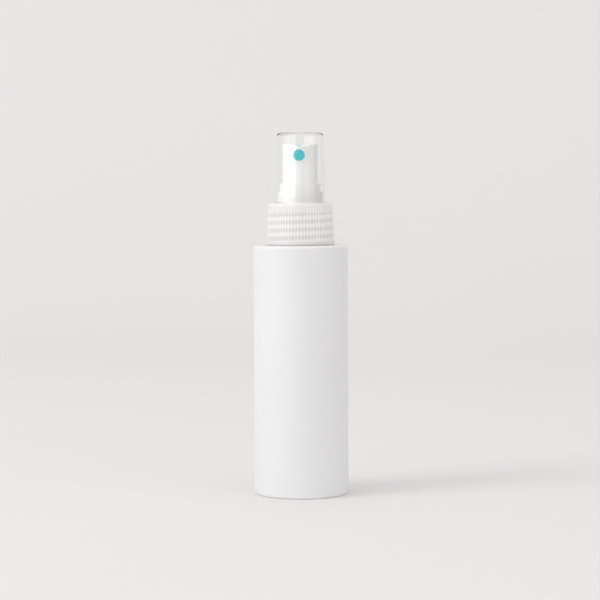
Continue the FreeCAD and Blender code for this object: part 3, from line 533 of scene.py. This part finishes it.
def addClosure():
    s = closureSizes
    low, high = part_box("closure_cap")
    flange, foot, ringTop = high.x, low.z, high.z
    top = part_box("overcap")[0].z
    ceiling = top - s["topWall"]
    flangeTop = foot + s["flangeHeight"]
    collarFoot = top - s["collar"]
    valleyTop = s["valley"] - s["draft"]
    collar = valleyTop + s["ribDepth"]
    bead = top + s["beadRise"]
    landFoot = ceiling - s["landHeight"]
    closure = turnedPiece("closureCap", [
        (s["threadRoot"], foot), (flange, foot), (flange, flangeTop), (s["valley"], flangeTop),
        (valleyTop, collarFoot), (collar, collarFoot), (collar, top), (s["ring"], top),
        (s["ring"], bead - s["beadSpread"]), (s["ring"] + s["bead"], bead), (s["ring"], bead + s["beadSpread"]),
        (s["ring"], ringTop), (s["hole"], ringTop), (s["hole"], ceiling), (s["land"], ceiling),
        (s["land"], landFoot), (s["threadRoot"], landFoot)], s["ribs"] * s["pointsPerRib"])
    roundRings(closure, [
        (collar, top, s["topRound"], 6), (s["ring"], ringTop, s["ringRound"], 3),
        (flange, foot, s["flangeRound"], 3), (flange, flangeTop, s["flangeRound"], 3)])
    bpy.ops.mesh.select_mode(type="VERT")
    raiseRibs(closure, s["valley"], flangeTop, s["ribDepth"])
    raiseRibs(closure, valleyTop, collarFoot, s["upperRib"] * s["ribDepth"])
    outwards(closure)
    thread = threadRidge(
        "closureThread", s["threadRoot"] + threadSizes["bite"], s["threadRoot"] - threadSizes["height"],
        threadSizes["closureCrest"], flangeTop + threadSizes["closureStart"], threadSizes["closureTurns"])
    joinPieces(closure, [thread])
    finishPiece(closure, "closure", "closure_cap", closurePlastic(foot, landFoot),
                smoothAngle=40, blocksLight=False)


addClosure()

# pump turret: the cup that the button slides in, with the sleeve and guide below it

turretSizes = {"wall": 0.95 * mm, "floor": 0.9 * mm, "roof": 1.1 * mm, "rimRound": 0.35 * mm,
               "insideRound": 0.2 * mm, "sleeve": 5.1 * mm, "sleeveBore": 4.3 * mm, "guide": 2.88 * mm,
               "guideBore": 1.88 * mm, "guideDrop": 1.4 * mm}


def addTurret():
    s = turretSizes
    low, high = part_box("pump_turret")
    radius, top = high.x, high.z
    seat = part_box("pump_housing")[1].z
    floorTop = seat + s["floor"]
    roof = floorTop - s["roof"]
    guideFoot = low.z + s["guideDrop"]
    turret = turnedPiece("pumpTurret", [
        (s["sleeveBore"], low.z), (s["sleeve"], low.z), (s["sleeve"], seat), (radius, seat), (radius, top),
        (radius - s["wall"], top), (radius - s["wall"], floorTop), (s["guideBore"], floorTop),
        (s["guideBore"], guideFoot), (s["guide"], guideFoot), (s["guide"], roof), (s["sleeveBore"], roof)])
    roundRings(turret, [(radius, top, s["rimRound"], 4), (radius - s["wall"], top, s["insideRound"], 2)])
    outwards(turret)
    finishPiece(turret, "pump", "pump_turret", finishes["naturalPlastic"], blocksLight=False)


addTurret()

# button: a cup turned upside down, its top sloped to the front and hollowed for a fingertip

buttonSizes = {"frontDrop": 0.4 * mm, "wall": 1.0 * mm, "rimRound": 0.6 * mm, "rimDepth": 1.7 * mm,
               "margin": 1.05 * mm, "sides": 96, "innerSides": 64, "span": 24, "dishRadius": 14.0 * mm,
               "dishBack": 0.9 * mm, "dishFront": 0.5 * mm, "boss": 3.8 * mm, "bossBack": 0.95 * mm,
               "bossFront": 6.12 * mm, "pocket": 2.32 * mm, "pocketBack": 2.5 * mm, "cutBack": 4.4 * mm,
               "cutFront": 9.0 * mm, "post": 1.2 * mm, "postFront": 6.25 * mm,
               "socket": 1.85 * mm, "socketOutside": 3.0 * mm, "socketReach": 8.0 * mm, "socketDrop": 5.0 * mm}


def topHeight(place, radius, back):
    # the lower of the sloped top and the hollow that runs from front to back
    s = buttonSizes
    share = (place.y + radius) / (2 * radius)
    slope = back - s["frontDrop"] * (1 - share)
    hollow = s["dishBack"] * share + s["dishFront"] * (1 - share)
    dish = slope - hollow + s["dishRadius"] - math.sqrt(s["dishRadius"] ** 2 - place.x ** 2)
    return min(slope, dish)


def faceForward(piece, height):
    # turned about the upright axis, so its top now points to the front
    makeActive(piece)
    piece.rotation_euler = (math.radians(90), 0, 0)
    piece.location = (0, 0, height)
    bpy.ops.object.transform_apply(location=True, rotation=True, scale=True)


def addButton():
    s = buttonSizes
    low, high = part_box("actuator_button")
    insertLow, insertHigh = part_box("nozzle_insert")
    radius, bottom, back = high.x, low.z, high.z
    nozzleHeight = (insertLow.z + insertHigh.z) / 2
    button = turnedPiece("actuatorButton", [(radius, bottom), (radius, back), (radius - s["margin"], back)],
                         s["sides"], leftOpen=True)
    selectEdges(button, lambda place: onRing(place, radius - s["margin"], back))
    bpy.ops.mesh.fill_grid(span=s["span"])
    mesh = bmesh.from_edit_mesh(button.data)
    for vertex in mesh.verts:
        if vertex.co.z > back - 0.01 * mm:
            vertex.co.z = topHeight(vertex.co, radius, back)
    bmesh.update_edit_mesh(button.data)
    rimFoot = back - s["frontDrop"] - s["rimDepth"]
    selectEdges(button, lambda place: place.z > rimFoot and abs(math.hypot(place.x, place.y) - radius) < 0.01 * mm)
    bpy.ops.mesh.bevel(offset=s["rimRound"], segments=5, profile=0.5, affect="EDGES", clamp_overlap=False)
    outwards(button)
    applyModifier(button, "SOLIDIFY", thickness=s["wall"], offset=-1, use_even_offset=True)
    cutter = turnedPiece("pocketCutter", [
        (0, s["cutBack"]), (s["pocket"], s["cutBack"]), (s["pocket"], s["cutFront"]), (0, s["cutFront"])],
        s["innerSides"])
    outwards(cutter)
    faceForward(cutter, nozzleHeight)
    applyModifier(button, "BOOLEAN", operation="DIFFERENCE", object=cutter, solver="MANIFOLD")
    bpy.data.objects.remove(cutter)
    boss = turnedPiece("nozzleBoss", [
        (0, s["bossBack"]), (s["boss"], s["bossBack"]), (s["boss"], s["bossFront"]), (s["pocket"], s["bossFront"]),
        (s["pocket"], s["pocketBack"]), (s["post"], s["pocketBack"]), (s["post"], s["postFront"]),
        (0, s["postFront"])], s["innerSides"])
    outwards(boss)
    faceForward(boss, nozzleHeight)
    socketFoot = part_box("stem")[1].z - s["socketDrop"]
    socketTop = socketFoot + s["socketReach"]
    socket = turnedPiece("stemSocket", [
        (s["socket"], socketFoot), (s["socketOutside"], socketFoot), (s["socketOutside"], socketTop),
        (s["socket"], socketTop)], s["innerSides"])
    outwards(socket)
    joinPieces(button, [boss, socket])
    finishPiece(button, "actuator", "actuator_button", buttonPlastic(nozzleHeight),
                smoothAngle=38, blocksLight=False)


addButton()

# nozzle insert: a small cup with a funnel at its spray hole

insertSizes = {"bore": 1.25 * mm, "face": 0.6 * mm, "funnel": 0.6 * mm, "funnelDepth": 0.25 * mm, "hole": 0.15 * mm,
               "edge": 0.18 * mm, "funnelEdge": 0.08 * mm, "sides": 96}


def addInsert():
    s = insertSizes
    low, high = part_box("nozzle_insert")
    radius, front, back = high.x, -low.y, -high.y
    insert = turnedPiece("nozzleInsert", [
        (s["bore"], back), (radius, back), (radius, front), (s["funnel"], front), (s["hole"], front - s["funnelDepth"]),
        (s["hole"], front - s["face"]), (s["bore"], front - s["face"])], s["sides"])
    roundRings(insert, [(radius, front, s["edge"], 4), (s["funnel"], front, s["funnelEdge"], 2)])
    outwards(insert)
    faceForward(insert, (low.z + high.z) / 2)
    finishPiece(insert, "actuator", "nozzle_insert", finishes["tealPlastic"])


addInsert()

# overcap: a thin clear cup turned upside down, a little narrower at its top

overcapSizes = {"wall": 0.85 * mm, "drawIn": 0.95 * mm, "crown": 0.5 * mm, "topRound": 0.8 * mm,
                "insideRound": 0.5 * mm, "lipRound": 0.25 * mm, "lipInsideRound": 0.15 * mm,
                "gate": 0.7 * mm, "gateFoot": 0.595 * mm, "gateDepth": 0.25 * mm, "gateLip": 0.01 * mm,
                "gateMargin": 0.1 * mm, "sides": 192, "crownRings": 16}


def addOvercap():
    s = overcapSizes
    low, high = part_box("overcap")
    radius, top = high.x, high.z
    edge = top - s["crown"]  # the crown rises from here to a shallow hollow where the plastic went in
    topRadius = radius - s["drawIn"]
    bore, topBore = radius - s["wall"], topRadius - s["wall"]
    outline = [(0, top - s["gateDepth"]), (s["gateFoot"], top - s["gateDepth"]), (s["gate"], top - s["gateLip"])]
    shares = [(step + 1) / (s["crownRings"] + 1) for step in range(s["crownRings"])]
    outline += [(share * topRadius, edge + s["crown"] * (1 - share ** 2)) for share in shares
                if s["gate"] + s["gateMargin"] < share * topRadius < topRadius - s["topRound"]]
    outline += [(topRadius, edge), (radius, low.z), (bore, low.z), (topBore, edge - s["wall"])]
    outline += [(share * topBore, edge - s["wall"] + s["crown"] * (1 - share ** 2)) for share in reversed(shares)
                if share * topBore < topBore - s["insideRound"]]
    outline += [(0, top - s["wall"])]
    overcap = turnedPiece("overcapShell", outline, s["sides"])
    roundRings(overcap, [
        (topRadius, edge, s["topRound"], 8), (topBore, edge - s["wall"], s["insideRound"], 5),
        (radius, low.z, s["lipRound"], 3), (bore, low.z, s["lipInsideRound"], 2)])
    outwards(overcap)
    finishPiece(overcap, "overcap", "overcap", clearPlastic(), smoothAngle=40)


addOvercap()

# camera

cameraView = {"turn": 3.7, "distance": 850 * mm, "height": 128.5 * mm, "sideways": -0.1 * mm, "pitch": 3.25,
              "roll": 0.27, "lens": 123.5, "sensor": 36, "near": 0.01, "far": 50}


def addCamera():
    lensData = bpy.data.cameras.new("camera")
    lensData.lens = cameraView["lens"]
    lensData.sensor_width = cameraView["sensor"]
    lensData.clip_start = cameraView["near"]
    lensData.clip_end = cameraView["far"]
    camera = bpy.data.objects.new("camera", lensData)
    scene.collection.objects.link(camera)
    turn = math.radians(cameraView["turn"])  # a little to the right of straight in front
    away, aside = cameraView["distance"], cameraView["sideways"]
    camera.location = (away * math.sin(turn) + aside * math.cos(turn), aside * math.sin(turn) - away * math.cos(turn),
                       cameraView["height"])
    camera.rotation_euler = (math.radians(90 - cameraView["pitch"]), math.radians(cameraView["roll"]), turn)
    scene.camera = camera


addCamera()

# floor, wall and lights

studio = {"floor": (0.76, 0.755, 0.755), "paler": 1.01, "mottleScale": 2.0, "roughness": 0.75, "width": 6.0,
          "front": -3.0, "wall": 1.6, "sweep": 0.9, "sweepSteps": 24, "height": 3.0,
          "airColour": (1.0, 0.99, 0.985), "airStrength": 0.76}


def addSweep():
    # a floor that curves up into a wall
    backEdge = studio["wall"] - studio["sweep"]
    deselectAll()
    bpy.ops.mesh.primitive_plane_add(size=1)
    sweep = bpy.context.object
    sweep.name = "sweep"
    bpy.ops.object.mode_set(mode="EDIT")
    bpy.ops.mesh.select_all(action="SELECT")
    bpy.ops.transform.resize(value=(studio["width"], backEdge - studio["front"], 1))
    bpy.ops.transform.translate(value=(0, (backEdge + studio["front"]) / 2, 0))
    bpy.ops.mesh.select_all(action="DESELECT")
    bpy.ops.object.mode_set(mode="OBJECT")
    for edge in sweep.data.edges:
        edge.select = all(sweep.data.vertices[end].co.y > backEdge - mm for end in edge.vertices)
    bpy.ops.object.mode_set(mode="EDIT")
    bpy.ops.mesh.spin(steps=studio["sweepSteps"], angle=math.radians(-90), center=(0, backEdge, studio["sweep"]),
                      axis=(1, 0, 0))
    bpy.ops.mesh.extrude_region_move(TRANSFORM_OT_translate={"value": (0, 0, studio["height"])})
    bpy.ops.object.mode_set(mode="OBJECT")
    bpy.ops.object.shade_smooth()
    material, shaderNodes, links, shader = newMaterial("sweepPaper")
    coordinates = shaderNodes.new("ShaderNodeTexCoord")
    mottled = noiseHeight(shaderNodes, links, coordinates, studio["mottleScale"])
    paler = [channel * studio["paler"] for channel in studio["floor"]]
    links.new(colourBetween(shaderNodes, links, mottled, studio["floor"], paler), shader.inputs["Base Color"])
    shader.inputs["Roughness"].default_value = studio["roughness"]
    sweep.data.materials.append(material)


def aroundPiece(angle, distance, height):
    # a place at this angle from the camera's side, to the left or, below zero, to the right
    turn = math.radians(angle - cameraView["turn"])
    return (-distance * math.sin(turn), -distance * math.cos(turn), height)


lamps = {
    "windowLeft": {"size": (1.87, 0.54), "place": aroundPiece(54.5, 1.5, 0.27), "target": (0, 0, 0.12),
                   "power": 4.7, "colour": (1.0, 0.997, 0.992)},
    "cardRight": {"size": (1.5, 0.54), "place": aroundPiece(-48, 1.5, 0.27), "target": (0, 0, 0.12),
                  "power": 2.6, "colour": (1.0, 0.99, 0.98)},
    "topSoft": {"size": (2.0, 2.0), "place": (0, 0.2, 2.2), "target": (0, 0.3, 0), "power": 9, "colour": (1, 1, 1)},
    "topLeft": {"size": (0.7, 0.7), "place": aroundPiece(64, 1.5, 1.2), "target": (0, 0, 0.05), "power": 8,
                "colour": (1, 1, 1)},
}


def addAreaLight(name, size, place, target, power, colour):
    lightData = bpy.data.lights.new(name, "AREA")
    lightData.shape = "RECTANGLE"
    lightData.size, lightData.size_y = size
    lightData.energy = power
    lightData.color = colour
    light = bpy.data.objects.new(name, lightData)
    scene.collection.objects.link(light)
    light.location = place
    light.rotation_euler = (Vector(target) - Vector(place)).to_track_quat("-Z", "Y").to_euler()


def addAir():
    # even light from all round
    world = bpy.data.worlds.new("studioAir")
    scene.world = world
    world.use_nodes = True
    background = world.node_tree.nodes["Background"]
    background.inputs["Color"].default_value = (*studio["airColour"], 1)
    background.inputs["Strength"].default_value = studio["airStrength"]


addSweep()
for name, lamp in lamps.items():
    addAreaLight(name, **lamp)
addAir()
scene.view_settings.view_transform = "Standard"
scene.cycles.max_bounces = 32  # light runs a long way inside the overcap's clear top
scene.cycles.glossy_bounces = 24
scene.cycles.transmission_bounces = 24
print("studio done")
